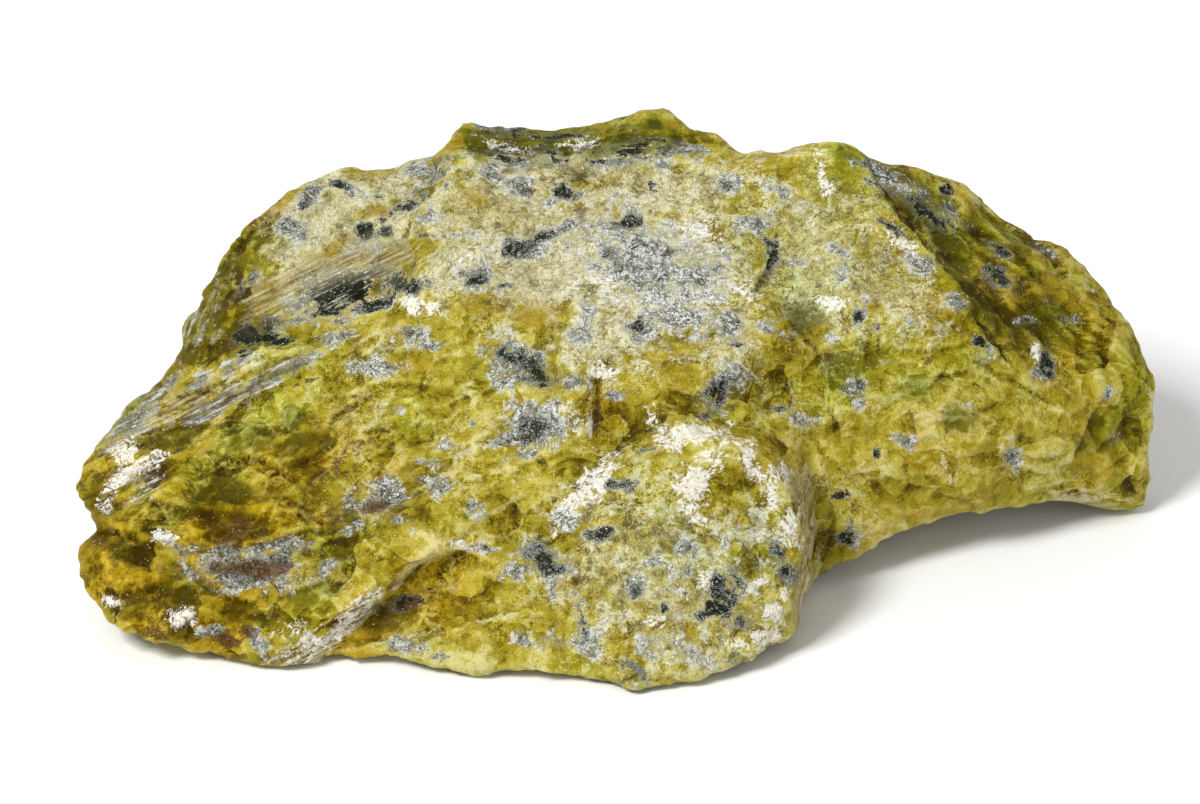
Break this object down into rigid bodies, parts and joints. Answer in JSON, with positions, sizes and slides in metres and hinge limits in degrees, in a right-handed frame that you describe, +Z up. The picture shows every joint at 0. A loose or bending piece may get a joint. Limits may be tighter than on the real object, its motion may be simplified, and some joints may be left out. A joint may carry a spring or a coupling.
{
  "type": "raw serpentine",
  "caption": "Long broken lump of raw serpentine with frosted, layered faces in olive and yellow green, lying on a flat broken face.",
  "frame": {"origin": "On the flat resting face, below the middle of the stone's length and depth.", "axes": "+X along the stone to its blunt end, +Y from the long sloping front to the steep back, +Z up from the resting face."},
  "size_m": [0.0998, 0.058, 0.0338],
  "materials": {
    "stone": "waxy, partly frosted"
  },
  "bodies": {
    "root": {"serpentine_stone": "stone"}
  },
  "joints": []
}
